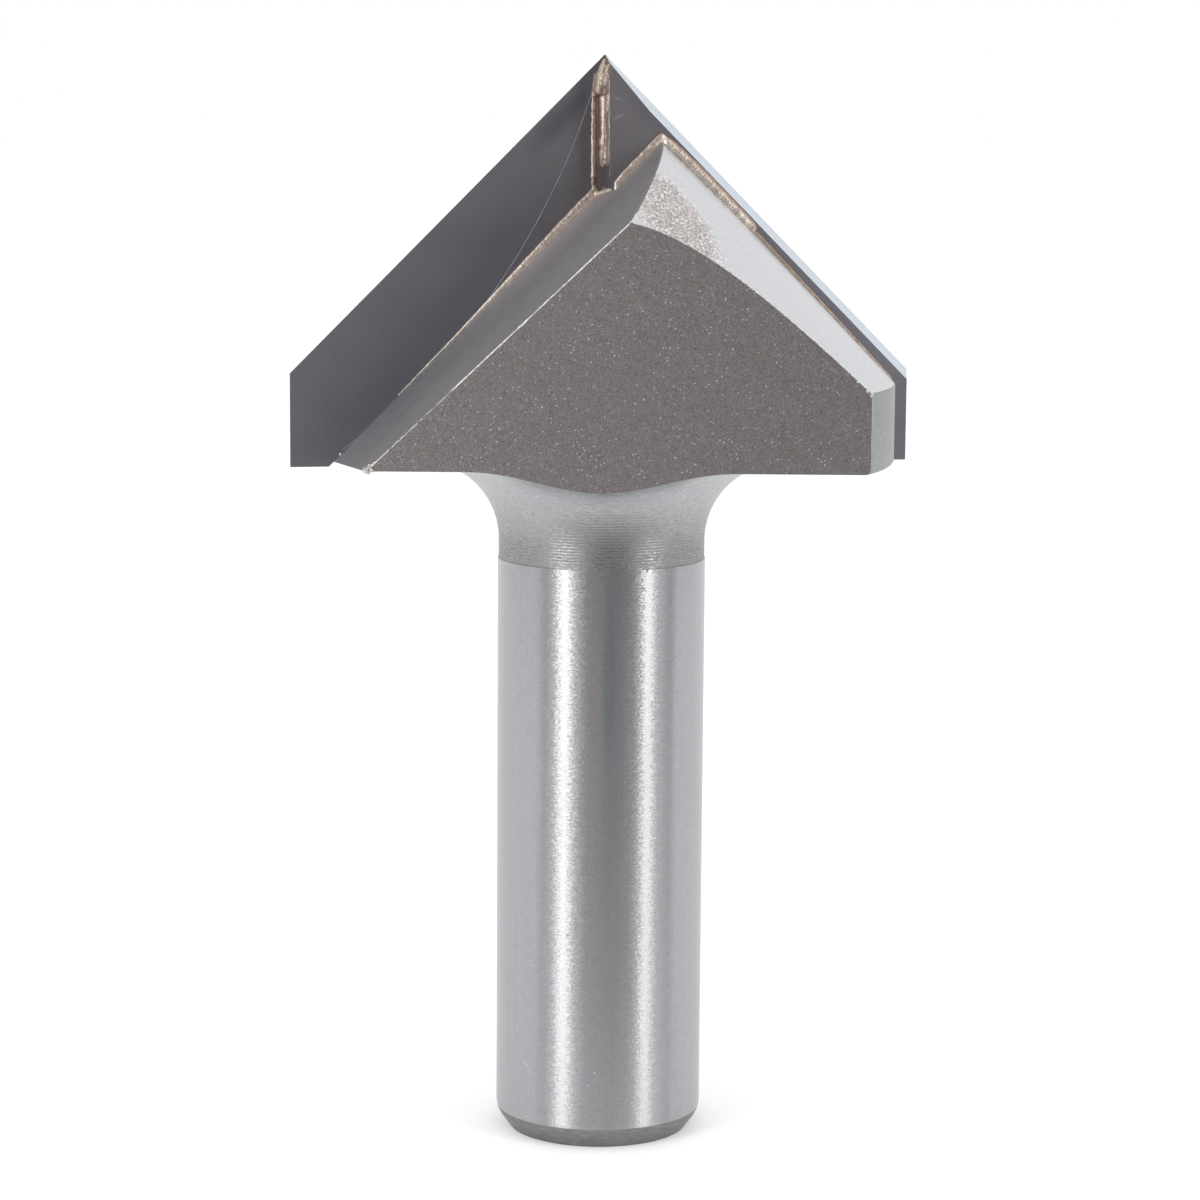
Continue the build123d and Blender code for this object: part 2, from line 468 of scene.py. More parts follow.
                # Only the strip's middle row moves, so the faces beside the strip stay flat.
                bpy.ops.mesh.select_mode(type="VERT")
                bpy.ops.mesh.select_less()
                bpy.ops.transform.vertex_random(offset=width * ragged, seed=4)
        milled = lambda face: regions["flat"](face) or regions["gullet"](face)
        broad = lambda face: milled(face) or regions["cone"](face)
        pick(body, "EDGE", lambda edge: len({broad(face) for face in edge.link_faces}) == 2)
        bpy.ops.mesh.mark_sharp()
        for place, radius in TORN_BURR:
            flake = {"radius": radius, "location": place, "scale": (1.2, 0.9, 0.9)}
            bpy.ops.mesh.primitive_ico_sphere_add(subdivisions=3, **flake)
            bpy.ops.transform.vertex_random(offset=radius * 0.55, seed=2)
        deselect()

    def finish(self, body, sizes, colours):
        """Gives each surface the finish that its tool left."""
        regions = self.regions(sizes)
        length = sizes.shank_length * MM
        chamfer = sizes.chamfer_height * MM
        top = (sizes.fillet_start + sizes.fillet_radius) * MM
        burr = bright_burr(colours.burr_steel)

        def height(face):
            return face.calc_center_median().z

        for material, test in (
            (milled_gullet(colours.milled_steel), lambda face: True),
            (ground_shank(colours.ground_steel), lambda face: height(face) < length),
            (
                ground_chamfer(colours.chamfer_steel),
                lambda face: height(face) < chamfer + 0.1 and face.normal.z < -0.12,
            ),
            (turned_neck(colours.turned_steel), lambda face: length - 0.05 < height(face) < top + 0.01),
            (ground_rim(colours.rim_steel), regions["rim"]),
            (relieved_cone(colours.relieved_steel), regions["cone"]),
            (blasted_flat(colours.blasted_steel), regions["flat"]),
            (burr, regions["burr"]),
        ):
            paint(body, material, test)
        for place, radius in TORN_BURR:
            near = lambda face: (face.calc_center_median() - Vector(place)).length < radius * 2
            paint(body, burr, lambda face: near(face) and face.calc_area() < 0.02)


class ROUTERBIT_OT_cutters(bpy.types.Operator):
    """Models the two carbide cutters, relieved behind their edges and ground on their rake faces"""

    bl_idname = "routerbit.cutters"
    bl_label = "Carbide Cutters"

    def execute(self, context):
        sizes = context.scene.bit_sizes
        colours = context.scene.bit_colours
        cutter = self.shape(sizes)
        carbide = ground_carbide(colours.carbide)
        paint(cutter, carbide, lambda face: True)
        # The relief faces and the arc's step are painted with the lighter copy of the carbide: painted light.
        bright = relief_carbide_painted_light(colours.relief_carbide)
        paint(cutter, bright, lambda face: 0.15 < face.normal.y < 0.6 and face.normal.z > 0.5)
        paint(cutter, bright, lambda face: all(self.on_arc(vert, sizes) for vert in face.verts))
        back = other_flute(cutter, "back_cutter")
        finish_piece(cutter, "carbide_tip_1", 20)
        finish_piece(back, "carbide_tip_2", 20)
        return {"FINISHED"}

    def on_arc(self, vert, sizes):
        """Whether a point lies on the step that the grinding wheel left across the rake face."""
        away = (vert.co.xz - Vector(ARC_CENTRE)).length
        return -0.07 < vert.co.y < 0.01 and abs(away - sizes.wheel_radius * MM) < 0.07

    def shape(self, sizes):
        """Front cutter: a plate cut back to its edges, with the ground skin on its rake face."""
        side = sizes.cutting_diameter * MM / 2
        point = sizes.cutting_point * MM
        bottom = sizes.tip_bottom * MM
        thickness = sizes.tip_thickness * MM
        root = (0, 0, sizes.root_height * MM)
        slope = math.cos(sizes.point_relief) * math.sqrt(0.5)
        edges = [
            ((0, 0, point), (-slope, math.sin(sizes.point_relief), slope)),
            ((-side, 0, 0), (-math.cos(sizes.side_relief), math.sin(sizes.side_relief), 0)),
            ((0, 0, bottom), (0, math.sin(sizes.bottom_relief), -math.cos(sizes.bottom_relief))),
            (root, -root_normal(sizes)),
        ]
        plate = block("front_cutter", (-side - 1, 0, bottom - 1), (0, thickness, point + 1), edges)
        edit(plate)
        bpy.ops.mesh.bisect(plane_co=(-2.4, 0, 0), plane_no=(1, 0, 0))
        pick(plate, "VERT", lambda vert: vert.co.x > -0.01 and vert.co.y > 0.1 and vert.co.z > point - 1.2)
        bpy.ops.transform.translate(value=(0, 0, 0.38))
        inset = thickness * math.tan(sizes.point_relief)
        across = math.sqrt(0.5)
        skin_edges = [
            ((0, 0, point - inset / across), (-across, 0, across)),
            (root, -root_normal(sizes)),
        ]
        skin = block("ground_skin", (-side + 0.5, -0.06, bottom + 1), (0, 0.5, point - 1.6), skin_edges)
        deselect()
        bpy.ops.mesh.primitive_cylinder_add(
            vertices=720,
            radius=sizes.wheel_radius * MM,
            depth=1.0,
            location=(ARC_CENTRE[0], 0, ARC_CENTRE[1]),
            rotation=(math.pi / 2, 0, 0),
        )
        combine(skin, added("wheel"), "DIFFERENCE")
        close_up(skin, 0.001)
        combine(plate, skin, "UNION")
        close_up(plate, 0.002)
        top_edge = lambda vert: vert.co.y < -0.05 and self.on_arc(vert, sizes)
        pick(plate, "EDGE", lambda edge: all(top_edge(vert) for vert in edge.verts))
        bpy.ops.mesh.bevel(offset=0.055, segments=1, clamp_overlap=True)
        pick(plate, "EDGE", lambda edge: edge.is_manifold and edge.calc_face_angle() > 1.0)
        bpy.ops.mesh.bevel(offset=0.02, segments=1, clamp_overlap=True)
        deselect()
        return plate


class ROUTERBIT_OT_braze(bpy.types.Operator):
    """Models the braze that squeezed out round the cutters, as blobs that run together"""

    bl_idname = "routerbit.braze"
    bl_label = "Braze"

    def execute(self, context):
        sizes = context.scene.bit_sizes
        chance = random.Random(11)
        blobs = []
        for points, lumpy, *flat in self.courses(sizes):
            blobs.extend(self.along(points, lumpy, flat, chance))
        braze = self.melt(blobs, sizes)
        self.measure(braze, sizes)
        paint(braze, silver_braze(context.scene.bit_colours.braze), lambda face: True)
        back = other_flute(braze, "back_braze")
        finish_piece(braze, "braze_seam_1", 80)
        finish_piece(back, "braze_seam_2", 80)
        return {"FINISHED"}

    def courses(self, sizes):
        """Each bead of the front flute: its points and radii, its lumpiness, its depth and width."""
        thickness = sizes.tip_thickness * MM
        rise = math.tan(sizes.root_angle)
        wall = wall_normal(sizes)
        foot = sizes.root_height * MM + thickness * wall.y / wall.z
        apex = sizes.cone_apex * MM
        rim = sizes.head_diameter * MM / 2
        slope = (apex - (sizes.fillet_start + sizes.fillet_radius + sizes.rim_height) * MM) / rim

        def cone_edge(x, over=0):
            return (x, -thickness, apex - slope * math.hypot(x, thickness) + over)

        rake, root = sizes.rake_bead * MM / 2, sizes.root_bead * MM / 2
        peak, ledge, seam = sizes.peak_bead * MM / 2, sizes.ledge_bead * MM / 2, sizes.seam_bead * MM / 2
        end = sizes.ledge_end * MM
        start = sizes.root_height * MM
        yield [
            ((-0.72, 0, 64.0), rake * 0.8),
            ((-0.7, 0, 62.0), rake),
            ((-0.68, 0, 60.0), rake * 1.05),
            ((-0.66, 0, 58.9), rake * 1.1),
            ((-0.62, -0.02, 58.1), rake * 1.25),
            ((-0.75, -0.03, 57.6), rake * 1.2),
        ], 0.16, 0.8
        yield [((-0.1, -0.1, 64.3), 0.3), ((-0.04, -0.12, 62.4), 0.26), ((-0.04, -0.12, 61), 0.26)], 0.06, 1
        yield [((-0.04, -0.12, 61), 0.3), ((-0.02, -0.2, 60), 0.34), ((-0.02, -0.25, 59.7), 0.3)], 0.2, 1
        yield [((0.02, -1.5, 63.7), 0.2), ((0.02, -1.3, 62.9), 0.2), ((0, -0.95, 62.6), 0.2)], 0.1, 1
        yield [((0, -0.5, 63.8), 0.14), ((0, -1.1, 63.7), 0.13), ((0, -1.5, 63.2), 0.12)], 0.1, 1
        yield [((0.0, -0.9, 62.8), 0.17), ((-0.02, -0.75, 61.8), 0.2), ((0, -0.6, 61), 0.16)], 0.05, 1
        yield [((0.02, -1.0, 61.4), 0.2), ((0.02, -0.9, 60.4), 0.26), ((0.02, -0.6, 59.7), 0.26)], 0.25, 1
        across = [((-0.5, -0.1, 57.82), 0.16), ((0.1, -1.2, 58.12), 0.17), ((0.45, -1.9, 58.28), 0.22)]
        yield across, 0.03, 0.8
        yield [((0, -thickness, 60.4), 0.035), ((0, -thickness, 59.0), 0.04)], 0.05, 1
        film = [((-0.01, -0.95, height), 0.86) for height in (60.3, 62.2, 64.2)]
        yield film + [((-0.01, -0.8, 65.1), 0.5)], 0.05, 1, 0.1
        top = [((-0.3, -0.15, 64.1), 0.42), ((-0.2, -0.3, 64.9), 0.42), ((-0.05, -0.35, 65.75), 0.22)]
        yield top, 0.03, 1
        yield [((-0.62, -0.02, 63.9), 0.2), ((-0.55, 0, 64.3), 0.26), ((-0.45, 0, 64.9), 0.26)], 0.03, 0.8
        yield [((-0.05, -0.8, 64.5), 0.3), ((0, -1.0, 65.1), 0.28), ((0.02, -1.3, 65.55), 0.12)], 0.06, 1
        low = [((x, -0.03, start + rise * x + 0.24 * share), root * share) for x, share in (
            (-0.6, 1.1), (-1.5, 1.15), (-2.7, 1.05), (-5.1, 0.8), (-7.4, 0.5), (-9.2, 0.32), (-12.5, 0.2))]
        yield low, 0.05, 0.7
        high = [((x, -thickness - 0.02, foot + rise * x + 0.24), peak * share) for x, share in (
            (0.45, 0.7), (0.9, 0.95), (2.0, 1), (2.8, 1.05), (3.1, 1.1))]
        yield high + [((3.42, -thickness, 61.02), peak * 0.98)], 0.04, 0.5
        yield [(cone_edge(x, over), ledge * share) for x, over, share in (
            (3.5, 0.16, 0.85), (4.2, 0.22, 0.95), (6, 0.25, 1), (end - 0.15, 0.23, 0.95))], 0.04, 0.9
        yield [(cone_edge(x, over), seam * share) for x, over, share in (
            (end, 0.17, 1.5), (end + 2, 0.15, 1.35), (rim - 4, 0.13, 1.2), (rim - 0.2, 0.08, 1.0))], 0.04, 0.9
        yield [((-16.04, 0, 42.26), 0.1), ((-16.02, 0, 42.2), 0.09)], 0.1, 1
        corner = math.sqrt(rim**2 - thickness**2)
        yield [((corner, -thickness, height), 0.09) for height in (46.4, 42.2)], 0.04, 0.9

    def along(self, points, lumpy, flat, chance):
        """Blobs from point to point, each a little larger or smaller than the last."""
        for (start, near), (stop, far) in zip(points, points[1:]):
            start, stop = Vector(start), Vector(stop)
            apart = 0.55 * (near + far) / 2
            steps = max(1, round((stop - start).length / apart))
            for step in range(steps + 1):
                share = step / steps
                radius = (near + (far - near) * share) * (1 + lumpy * chance.uniform(-1, 1))
                shift = Vector([lumpy * radius * 0.5 * chance.uniform(-1, 1) for _ in range(3)])
                depth, *width = flat
                yield start.lerp(stop, share) + shift, (radius * (width or [1])[0], radius * depth, radius)

    def melt(self, blobs, sizes):
        """Runs the blobs together into one rough skin."""
        deselect()
        for count, (place, radii) in enumerate(blobs):
            bpy.ops.mesh.primitive_ico_sphere_add(subdivisions=2, radius=1, location=place, scale=radii)
            if count == 0:
                braze = added("front_braze")
                edit(braze)
        shaped(braze, "REMESH", mode="VOXEL", voxel_size=0.045)
        shaped(braze, "SMOOTH", factor=0.5, iterations=5)
        lumps = bpy.data.textures.new("braze lumps", "CLOUDS")
        lumps.noise_scale = sizes.lump_size * MM
        shaped(braze, "DISPLACE", texture=lumps, strength=0.04, mid_level=0.5, texture_coords="GLOBAL")
        return braze

    def measure(self, braze, sizes):
        """Keeps each point's distance from the steel, in millimetres, for the stains and the painted light
        and shade.
        """
        wall = wall_normal(sizes)
        root = Vector((0, 0, sizes.root_height * MM))
        apex, end = sizes.cone_apex * MM, sizes.ledge_end * MM
        # The cone's slope, and the share of a height above it that is measured square to it.
        slope, square = 1.034, 0.695
        # In millimetres: the rim's top, the cone edge's start, and the ridge's side, foot and thick part.
        rim_top, edge_start, ridge_side, ridge_foot, ridge_thick = 46.6, 3.2, 0.4, 58.8, 63.6
        away = braze.data.attributes.new("from_steel", "FLOAT", "POINT")
        for vert, mark in zip(braze.data.vertices, away.data):
            reach = max(0.07, (vert.co - root).dot(wall) * 0.95)
            if vert.co.z < rim_top:
                reach = 0.1
            elif vert.co.x > edge_start:
                reach = (vert.co.z - apex + slope * math.hypot(vert.co.x, vert.co.y)) * square
                reach = 0.3 + reach if vert.co.x > end else 0.9 * reach
            elif vert.co.z > ridge_foot and vert.co.x < ridge_side:
                reach = 0.33 if vert.co.z < ridge_thick else 0.4
            mark.value = max(0, reach)


def add_node(tree, kind, inputs=None, **settings):
    """Adds a node with its settings, and sets or links its inputs."""
    node = tree.nodes.new(kind)
    for name, value in settings.items():
        setattr(node, name, value)
    for name, value in (inputs or {}).items():
        if isinstance(value, bpy.types.NodeSocket):
            tree.links.new(value, node.inputs[name])
        else:
            node.inputs[name].default_value = value
    return node


def new_material(name):
    """Empty node material, its node tree, and its Object coordinates."""
    material = bpy.data.materials.new(name)
    material.use_nodes = True
    tree = material.node_tree
    tree.nodes.clear()
    place = add_node(tree, "ShaderNodeTexCoord").outputs["Object"]
    return material, tree, place


def surface(tree, inputs):
    """Principled shader on the material's output."""
    shader = add_node(tree, "ShaderNodeBsdfPrincipled", inputs)
    add_node(tree, "ShaderNodeOutputMaterial", {"Surface": shader.outputs["BSDF"]})


def metal(material, tree, tone, roughness, **inputs):
    """The material, once it has a metallic surface of one tone and roughness."""
    surface(tree, {"Base Color": tone, "Metallic": 1.0, "Roughness": roughness, **inputs})
    return material


def worked_out(tree, operation, *values):
    """Result of one sum on one or two values."""
    return add_node(tree, "ShaderNodeMath", dict(enumerate(values)), operation=operation).outputs["Value"]


def ramp(tree, value, low=0.0, high=1.0, start=0.0, end=1.0):
    """Goes from start to end while the value goes from low to high."""
    limits = {"Value": value, "From Min": low, "From Max": high, "To Min": start, "To Max": end}
    return add_node(tree, "ShaderNodeMapRange", limits).outputs["Result"]


def grain(tree, place, widths, detail=2.0):
    """Mottled pattern from 0 to 1, its grains as wide as given, in millimetres, along each axis."""
    spread = add_node(tree, "ShaderNodeMapping", {"Vector": place, "Scale": [MM / width for width in widths]})
    cloud = {"Vector": spread.outputs["Vector"], "Scale": 1.0, "Detail": detail}
    return ramp(tree, add_node(tree, "ShaderNodeTexNoise", cloud).outputs["Fac"], 0.3, 0.7)


def glints(tree, place, width, share):
    """1 on a random share of small facets, as wide as given in millimetres, and 0 elsewhere."""
    cells = add_node(tree, "ShaderNodeTexVoronoi", {"Vector": place, "Scale": MM / width})
    chance = add_node(tree, "ShaderNodeSeparateColor", {"Color": cells.outputs["Color"]})
    return worked_out(tree, "GREATER_THAN", chance.outputs["Red"], 1 - share)


def spot(tree, place, middle, radii, along=(0, 0, 1), soft=0.5):
    """1 in the middle of an ellipsoid, whose third radius lies along a line, and 0 outside it."""
    turn = Vector(along).to_track_quat("Z", "Y").to_euler()
    inside = {
        "Vector": place,
        "Location": [c / MM for c in middle],
        "Rotation": turn,
        "Scale": [r / MM for r in radii],
    }
    local = add_node(tree, "ShaderNodeMapping", inside, vector_type="TEXTURE")
    away = add_node(tree, "ShaderNodeVectorMath", {0: local.outputs["Vector"]}, operation="LENGTH")
    return ramp(tree, away.outputs["Value"], 1.0, 1 - soft)


def front_flute(tree, place, axis="Y"):
    """Object coordinates, the back flute's turned onto the front one, which is at minus on the axis."""
    axes = add_node(tree, "ShaderNodeSeparateXYZ", {"Vector": place})
    flip = worked_out(tree, "MULTIPLY", worked_out(tree, "SIGN", axes.outputs[axis]), -1.0)
    half = add_node(tree, "ShaderNodeCombineXYZ", {"X": flip, "Y": flip, "Z": 1.0})
    turned = {0: place, 1: half.outputs["Vector"]}
    return add_node(tree, "ShaderNodeVectorMath", turned, operation="MULTIPLY").outputs["Vector"]


def tinted(tree, base, *layers):
    """The base colour times each layer's two tints, which its pattern goes between from 0 to 1."""
    tone = (*base, 1)
    for pattern, low, high in layers:
        ends = [(*(tint if isinstance(tint, tuple) else (tint,) * 3), 1) for tint in (low, high)]
        tint = add_node(tree, "ShaderNodeMix", {0: pattern, 6: ends[0], 7: ends[1]}, data_type="RGBA")
        both = {0: 1.0, 6: tone, 7: tint.outputs[2]}
        tone = add_node(tree, "ShaderNodeMix", both, data_type="RGBA", blend_type="MULTIPLY").outputs[2]
    return tone


def rough(tree, height, depth, strength=1.0):
    """Normal of a surface whose grain is as deep as given, in millimetres."""
    relief = {"Height": height, "Strength": strength, "Distance": depth / MM}
    return add_node(tree, "ShaderNodeBump", relief).outputs["Normal"]


def ground_shank(base):
    """Tool steel, cylindrically ground: fine lines round it stretch its highlights upwards."""
    material, tree, place = new_material("Tool steel, cylindrically ground")
    # The wheel's lines are 0.02 mm apart; they are drawn at 0.07 mm, which is as fine as shows.
    lines = grain(tree, place, (0.4, 0.4, 0.07), 3)
    layers = [
        (lines, 0.94, 1.06),
        (grain(tree, place, (0.14, 0.14, 0.12)), 0.95, 1.05),
        (grain(tree, place, (0.16, 0.16, 9)), 0.975, 1.025),
    ]
    # Handling marks: a nick under the neck, a scratch, a few specks and two faint streaks.
    for middle, radii, along, tint in (
        ((1.7, -6.12, 35.72), (0.1, 0.1, 0.2), (0.5, 0, 1), 0.3),
        ((1.88, -6.07, 35.7), (0.07, 0.07, 0.16), (0.5, 0, 1), 1.7),
        ((0.99, -6.27, 35.11), (0.04, 0.1, 0.16), (0.5, 0, 0.3), 1.5),
        ((1.43, -6.19, 34.67), (0.06, 0.1, 0.2), (1, 0, -0.4), 0.6),
        ((-1.31, -6.21, 4.91), (0.07, 0.1, 0.09), (0, 0, 1), 1.9),
        ((-1.7, -6.12, 4.15), (0.05, 0.1, 0.07), (0, 0, 1), 1.8),
        ((-5.1, -3.76, 4.9), (0.04, 0.1, 0.65), (0.52, -0.7, -0.85), 1.2),
        ((-2.95, -5.62, 13.44), (0.1, 0.1, 0.12), (0, 0, 1), 0.7),
        ((-1.55, -6.15, 27), (0.33, 0.33, 9), (0, 0, 1), (1.08, 0.98, 0.96)),
        ((-0.6, -6.32, 29), (0.45, 0.45, 7), (0, 0, 1), (0.88, 0.9, 0.95)),
    ):
        layers.append((spot(tree, place, middle, radii, along), 1.0, tint))
    # The lines wander a little, which frays the edges of the tall highlights.
    around = add_node(tree, "ShaderNodeNewGeometry").outputs["Normal"]
    upright = add_node(tree, "ShaderNodeCombineXYZ", {"Z": 1.0}).outputs["Vector"]
    tangent = add_node(tree, "ShaderNodeVectorMath", {0: upright, 1: around}, operation="CROSS_PRODUCT")
    tilt = ramp(tree, grain(tree, place, (0.16, 0.16, 0.08), 3), start=-0.05, end=0.05)
    shift = {0: tangent.outputs["Vector"], "Scale": tilt}
    shift = add_node(tree, "ShaderNodeVectorMath", shift, operation="SCALE")
    frayed = {0: around, 1: shift.outputs["Vector"]}
    frayed = add_node(tree, "ShaderNodeVectorMath", frayed, operation="ADD")
    normal = add_node(tree, "ShaderNodeVectorMath", {0: frayed.outputs["Vector"]}, operation="NORMALIZE")
    brushed = {"Anisotropic": 1.0, "Tangent": upright, "Normal": normal.outputs["Vector"]}
    return metal(material, tree, tinted(tree, base, *layers), 0.4, **brushed)


def turned_neck(base):
    """Tool steel, turned: the lathe tool's rings catch the light, and fade out towards the head; the ringed
    part is painted darker, as painted shade.
    """
    material, tree, place = new_material("Tool steel, turned")
    height = add_node(tree, "ShaderNodeSeparateXYZ", {"Vector": place}).outputs["Z"]
    upwards = ramp(tree, height, 36.6 / MM, 40.2 / MM)
    # The tool's marks are 0.19 mm apart; here and there a stretch of one is smeared smooth.
    smeared = grain(tree, place, (0.3, 0.3, 0.07), 1)
    even = {0: upwards, 2: ramp(tree, smeared, 0.3, 0.9, 0.52, 0.34), 3: 0.38}
    gloss = add_node(tree, "ShaderNodeMix", even, data_type="FLOAT").outputs["Result"]
    # Painted shade and light: darker low on the neck, where the rings are, and lighter towards the head.
    tone = tinted(
        tree,
        base,
        (upwards, (0.77, 0.75, 0.75), (1.06, 1.06, 1.07)),
        (smeared, 0.9, 1.08),
        (grain(tree, place, (0.3, 0.3, 0.2)), 0.94, 1.06),
    )
    return metal(material, tree, tone, gloss, Normal=rough(tree, smeared, 0.006))


def blasted_flat(base):
    """Tool steel, grit blasted: dull warm grey, with painted glints and painted dark specks for the small
    facets.
    """
    material, tree, place = new_material("Tool steel, grit blasted")
    grit = grain(tree, place, (0.1,) * 3, 3)
    # Most facets are too fine to show; the few that stand out are painted as glints and dark specks about a
    # pixel wide.
    tone = tinted(
        tree,
        base,
        (grit, 0.71, 1.27),
        (grain(tree, place, (0.13,) * 3), (0.96, 1.0, 1.04), (1.04, 1.0, 0.96)),
        (grain(tree, place, (0.5,) * 3, 4), 0.95, 1.05),
        (glints(tree, place, 0.075, 0.014), 1.0, 2.2),
        (glints(tree, place, 0.055, 0.03), 1.0, 0.72),
    )
    return metal(material, tree, tone, 0.58, Normal=rough(tree, grit, 0.012, 0.7))


def relieved_cone(base):
    """Tool steel, ground back for clearance: bright, with a coarser blasted patch near the peak, whose facets
    get painted glints.
    """
    material, tree, place = new_material("Tool steel, relief ground")
    flute = front_flute(tree, place)
    wander = worked_out(tree, "MULTIPLY", grain(tree, place, (1.1,) * 3, 3), 0.35)
    core = spot(tree, flute, (2.9, -7.2, 56.7), (2.7, 2.7, 5.4), (3.3, -4.3, -5.5), 0.5)
    patch = ramp(tree, worked_out(tree, "SUBTRACT", core, wander), high=0.65)
    depth = worked_out(tree, "MULTIPLY", grain(tree, place, (0.16,) * 3, 1), patch)
    # Painted glints on the patch's facets.
    painted_glints = worked_out(tree, "MULTIPLY", glints(tree, place, 0.11, 0.2), patch)
    tone = tinted(
        tree,
        base,
        (grain(tree, place, (0.35,) * 3, 3), 0.965, 1.03),
        (patch, 1.0, (0.53, 0.49, 0.47)),
        (depth, 1.0, 1.95),
        (painted_glints, 1.0, 1.5),
        (spot(tree, flute, (12, -1.9, 52.3), (0.35, 0.6, 9.5), (1, 0, -1.03), 0.8), 1.0, (1.02, 0.98, 0.88)),
    )
    return metal(material, tree, tone, 0.42, Normal=rough(tree, depth, 0.035))


def milled_gullet(base):
    """Tool steel, milled: a satin grey wall with painted light, lighter at the cutter and much lighter at the
    root, tinted where the braze ran hot.
    """
    material, tree, place = new_material("Tool steel, milled")
    flute = front_flute(tree, place)
    axes = add_node(tree, "ShaderNodeSeparateXYZ", {"Vector": place})
    depth = worked_out(tree, "ABSOLUTE", axes.outputs["Y"])
    # Painted light: the wall is lighter near the cutter, and much lighter close to the root.
    outwards = ramp(tree, depth, 2 / MM, 7.5 / MM)
    painted_light_near_root = ramp(tree, depth, 3 / MM, 0)
    tone = tinted(
        tree,
        base,
        (outwards, (1.08, 1.07, 1.09), (0.96, 0.95, 0.95)),
        (painted_light_near_root, 1.0, (1.65, 1.58, 1.58)),
        (grain(tree, place, (0.9,) * 3, 4), 0.96, 1.04),
        (grain(tree, place, (0.1,) * 3), 0.95, 1.05),
        (spot(tree, place, (0, 0, 58.2), (2.6, 3.2, 1.3), (0, 0, 1), 0.9), 1.0, (1.0, 0.9, 0.82)),
        # This takes part of the painted light back towards the root's lower end.
        (spot(tree, flute, (-12.5, -0.4, 46.5), (3.4, 3.4, 11.5), (1, 0, 1), 0.8), 1.0, (0.66, 0.71, 0.73)),
    )
    return metal(material, tree, tone, 0.66)


def ground_rim(base):
    """Tool steel, turned rim: satin, with braze smeared on its end beside the cutter."""
    material, tree, place = new_material("Tool steel, turned rim")
    smear = spot(tree, front_flute(tree, place), (17.64, -1.95, 44.2), (0.4, 0.22, 4.5), (0, 0, 1), 0.5)
    tone = tinted(
        tree,
        base,
        (grain(tree, place, (0.9, 0.9, 0.12), 3), 0.92, 1.06),
        (grain(tree, place, (0.5,) * 3, 3), 0.94, 1.05),
        (smear, 1.0, (1.75, 1.62, 1.45)),
    )
    return metal(material, tree, tone, 0.45)


def ground_chamfer(base):
    """Tool steel, ground chamfer: satin, a little stained by handling."""
    material, tree, place = new_material("Tool steel, ground chamfer")
    tone = tinted(
        tree,
        base,
        (grain(tree, place, (0.6, 0.6, 0.2), 3), 0.84, 1.12),
        (grain(tree, place, (0.12,) * 3), 0.93, 1.07),
    )
    return metal(material, tree, tone, 0.5)


def bright_burr(base):
    """Tool steel, sheared burr: a bright line, painted far lighter than the steel, which is a painted
    highlight along the edge.
    """
    material, tree, place = new_material("Tool steel, sheared burr")
    tone = tinted(tree, base, (grain(tree, place, (0.14,) * 3), 0.45, 1.1))
    return metal(material, tree, tone, 0.6)


def ground_carbide(base):
    """Tungsten carbide, fine ground: dark grey, browner beside the braze and bluer towards its edges."""
    material, tree, place = new_material("Tungsten carbide, fine ground")
    axes = add_node(tree, "ShaderNodeSeparateXYZ", {"Vector": place})
    middle = worked_out(tree, "ABSOLUTE", axes.outputs["X"])
    flute = front_flute(tree, place, "X")
    groove = spot(tree, flute, (-0.3, 0, 61), (0.6, 0.5, 4.6), (0, 0, 1), 0.5)
    shaded = spot(tree, flute, (-2.4, 0, 62.6), (2.6, 1, 3.6), (1, 0, 1), 0.8)
    inner = ramp(tree, middle, 9 / MM, 1 / MM)
    tone = tinted(
        tree,
        base,
        (grain(tree, place, (4,) * 3, 4), (0.92, 0.93, 0.96), (1.07, 1.05, 1.03)),
        (grain(tree, place, (0.15,) * 3), 0.95, 1.05),
        (inner, (0.98, 0.99, 1.03), (0.96, 0.94, 0.95)),
        (groove, 1.0, (1.15, 0.98, 0.86)),
        (shaded, 1.0, (0.66, 0.69, 0.74)),
        (spot(tree, flute, (-0.5, 1.9, 62.5), (0.035, 0.1, 0.5), (-1, 0, 0.6), 0.7), 1.0, 1.4),
        (spot(tree, flute, (-0.4, 1.9, 63.6), (0.035, 0.1, 0.42), (-1, 0, -0.5), 0.7), 1.0, 1.25),
    )
    return metal(material, tree, tone, 0.52)


def relief_carbide_painted_light(base):
    """Tungsten carbide, relief ground: much lighter than the rake faces' carbide, painted light for these
    faces and the arc's step.
    """
    material, tree, place = new_material("Tungsten carbide, relief ground")
    tone = tinted(tree, base, (grain(tree, place, (0.5, 0.5, 0.08), 3), 0.95, 1.04))
    return metal(material, tree, tone, 0.4)


def silver_braze(base):
    """Silver and copper brazing alloy, as cast: dull at the steel, then creamy with painted light, then
    copper and brown, partly scorch and partly painted shade.
    """
    material, tree, place = new_material("Silver braze, as cast")
    away = add_node(tree, "ShaderNodeAttribute", attribute_name="from_steel").outputs["Fac"]
    specks = grain(tree, place, (0.1,) * 3)
    tone = tinted(
        tree,
        base,
        (ramp(tree, away, 0.01, 0.06), (0.62, 0.58, 0.54), 1.0),
        # Painted light: the band beside the steel is painted lighter than the alloy.
        (ramp(tree, away, 0.14, 0.3), (1.35, 1.41, 1.38), (0.98, 0.95, 0.93)),
        # Copper brown further out: partly scorch, partly painted shade on the beads' far side.
        (ramp(tree, away, 0.3, 0.5), 1.0, (0.52, 0.47, 0.44)),
        (grain(tree, place, (0.5,) * 3, 3), (0.84, 0.81, 0.78), 1.08),
        (specks, 0.84, 1.14),
    )
    return metal(material, tree, tone, 0.46, Normal=rough(tree, specks, 0.01))


